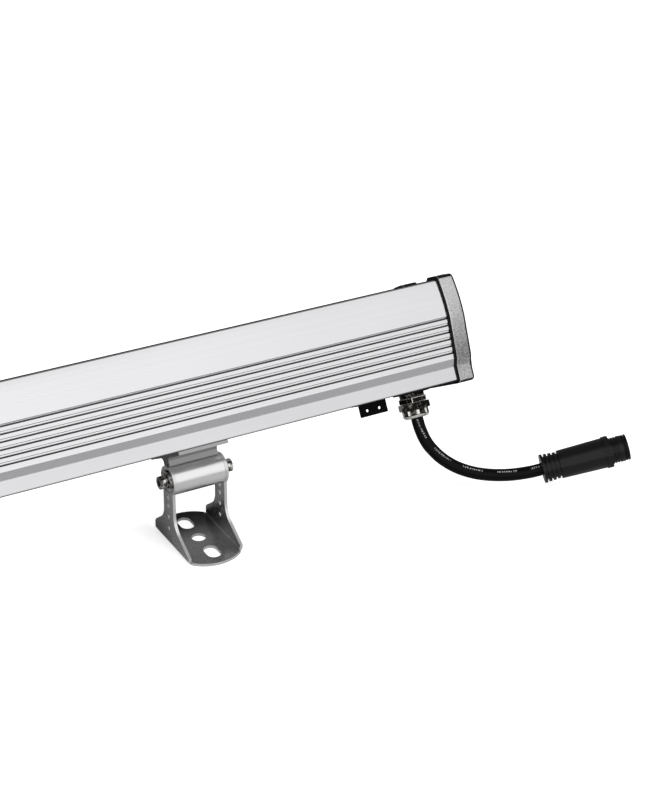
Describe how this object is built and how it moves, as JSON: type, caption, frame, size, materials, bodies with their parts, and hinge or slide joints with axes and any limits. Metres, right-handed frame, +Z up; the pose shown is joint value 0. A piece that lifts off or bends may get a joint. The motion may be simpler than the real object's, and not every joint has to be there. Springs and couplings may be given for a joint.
{
  "type": "linear wall washer light",
  "caption": "Outdoor wall washer light: long grooved aluminium housing with a glass front over a row of lenses, on two sliding, tilting feet, with a short lead and a round plug.",
  "frame": {"origin": "on the ground, midway between the middle holes of the two feet", "axes": "+X along the light towards the end with the lead, +Y away from the viewer, the way the housing leans, +Z up"},
  "size_m": [1.0893, 0.1542, 0.1381],
  "materials": {
    "anodised_aluminium": "matt silver anodised",
    "cap_paint": "fine sand texture, silver grey",
    "seal_rubber": "matt black",
    "screw_steel": "plain stainless",
    "bright_steel": "bright stainless",
    "front_glass": "clear tempered",
    "lens_resin": "clear moulded",
    "board_white": "white solder mask on aluminium",
    "led_yellow": "phosphor under a clear dome",
    "holder_black": "moulded",
    "driver_green": "green solder mask",
    "driver_dark": "moulded and wound parts",
    "tab_black": "satin black",
    "gland_nickel": "dark nickel plated",
    "cable_jacket": "satin black jacket",
    "plug_plastic": "fine texture",
    "pin_gold": "gold plated",
    "slider_aluminium": "satin extruded",
    "foot_paint": "grey coated steel sheet"
  },
  "bodies": {
    "light": {"housing": "anodised_aluminium", "end_cap_right": "cap_paint", "end_cap_left": "cap_paint", "cap_gasket_right": "seal_rubber", "cap_gasket_left": "seal_rubber", "cap_screws_right": "screw_steel", "cap_screws_left": "screw_steel", "glass_cover": "front_glass", "glass_seal": "seal_rubber", "light_board": "board_white", "board_screws": "screw_steel", "leds": "led_yellow", "lens_holders": "holder_black", "lenses": "lens_resin", "driver_board": "driver_green", "driver_parts": "driver_dark", "driver_screws": "screw_steel", "tie_tab": "tab_black", "tab_screws": "screw_steel", "gland_washer": "seal_rubber", "gland_body": "gland_nickel", "gland_nut": "gland_nickel", "gland_bush": "seal_rubber", "gland_locknut": "gland_nickel", "cable_tail": "cable_jacket", "cable": "cable_jacket", "plug_body": "plug_plastic", "plug_ring": "plug_plastic", "plug_shell": "plug_plastic", "plug_insert": "plug_plastic", "plug_pins": "pin_gold", "plug_seal": "seal_rubber"},
    "right_slider": {"slider_right": "slider_aluminium", "clamp_screws_right": "screw_steel", "clamp_nuts_right": "screw_steel", "pivot_screws_right": "bright_steel", "spring_washers_right": "bright_steel", "flat_washers_right": "bright_steel"},
    "right_foot": {"foot_right": "foot_paint"},
    "left_slider": {"slider_left": "slider_aluminium", "clamp_screws_left": "screw_steel", "clamp_nuts_left": "screw_steel", "pivot_screws_left": "bright_steel", "spring_washers_left": "bright_steel", "flat_washers_left": "bright_steel"},
    "left_foot": {"foot_left": "foot_paint"}
  },
  "joints": [
    {"name": "right_slide", "type": "slide", "parent": "light", "child": "right_slider", "axis": [1, 0, 0], "range_m": [-0.24, 0.09]},
    {"name": "right_tilt", "type": "hinge", "parent": "right_slider", "child": "right_foot", "pos_m": [0.3, 0.0035, 0.0475], "axis": [1, 0, 0], "range_deg": [-120, 60]},
    {"name": "left_slide", "type": "slide", "parent": "light", "child": "left_slider", "axis": [1, 0, 0], "range_m": [-0.09, 0.24]},
    {"name": "left_tilt", "type": "hinge", "parent": "left_slider", "child": "left_foot", "pos_m": [-0.3, 0.0035, 0.0475], "axis": [1, 0, 0], "range_deg": [-120, 60]}
  ]
}
